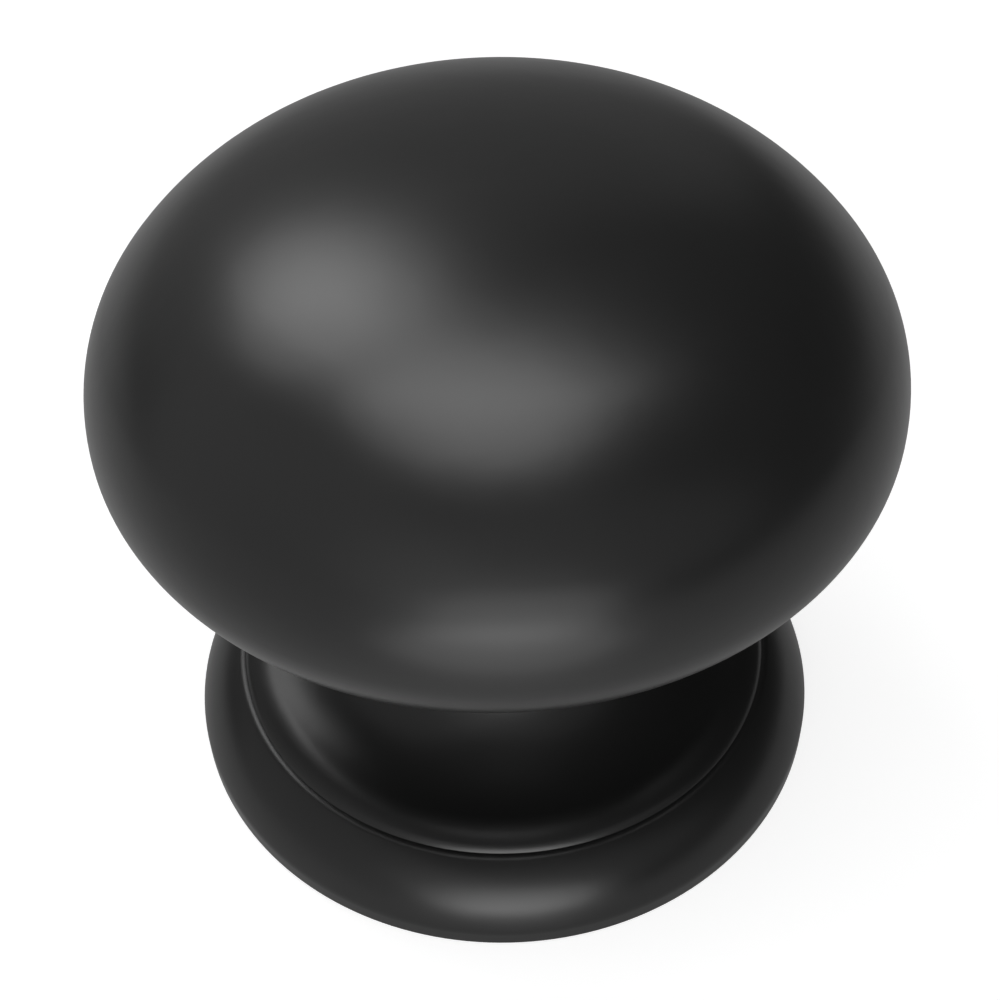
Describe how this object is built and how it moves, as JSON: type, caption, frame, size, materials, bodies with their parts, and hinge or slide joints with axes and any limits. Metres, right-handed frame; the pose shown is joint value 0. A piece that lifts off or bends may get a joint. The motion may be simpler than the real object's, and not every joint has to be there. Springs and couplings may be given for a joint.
{
  "type": "cabinet knob",
  "caption": "Mushroom cabinet knob with a domed head, slim flared neck and round foot, in satin black, fixed from behind by a screw into its threaded hole.",
  "frame": {"origin": "centre of the foot's flat back face, where the knob meets the door or drawer front", "axes": "+Z along the knob's axis, out of the door towards the crown of the head; the knob is round, so X and Y are free"},
  "size_m": [0.032, 0.032, 0.0297],
  "materials": {
    "black_coat": "satin black powder coat"
  },
  "bodies": {
    "root": {"knob": "black_coat"}
  },
  "joints": []
}
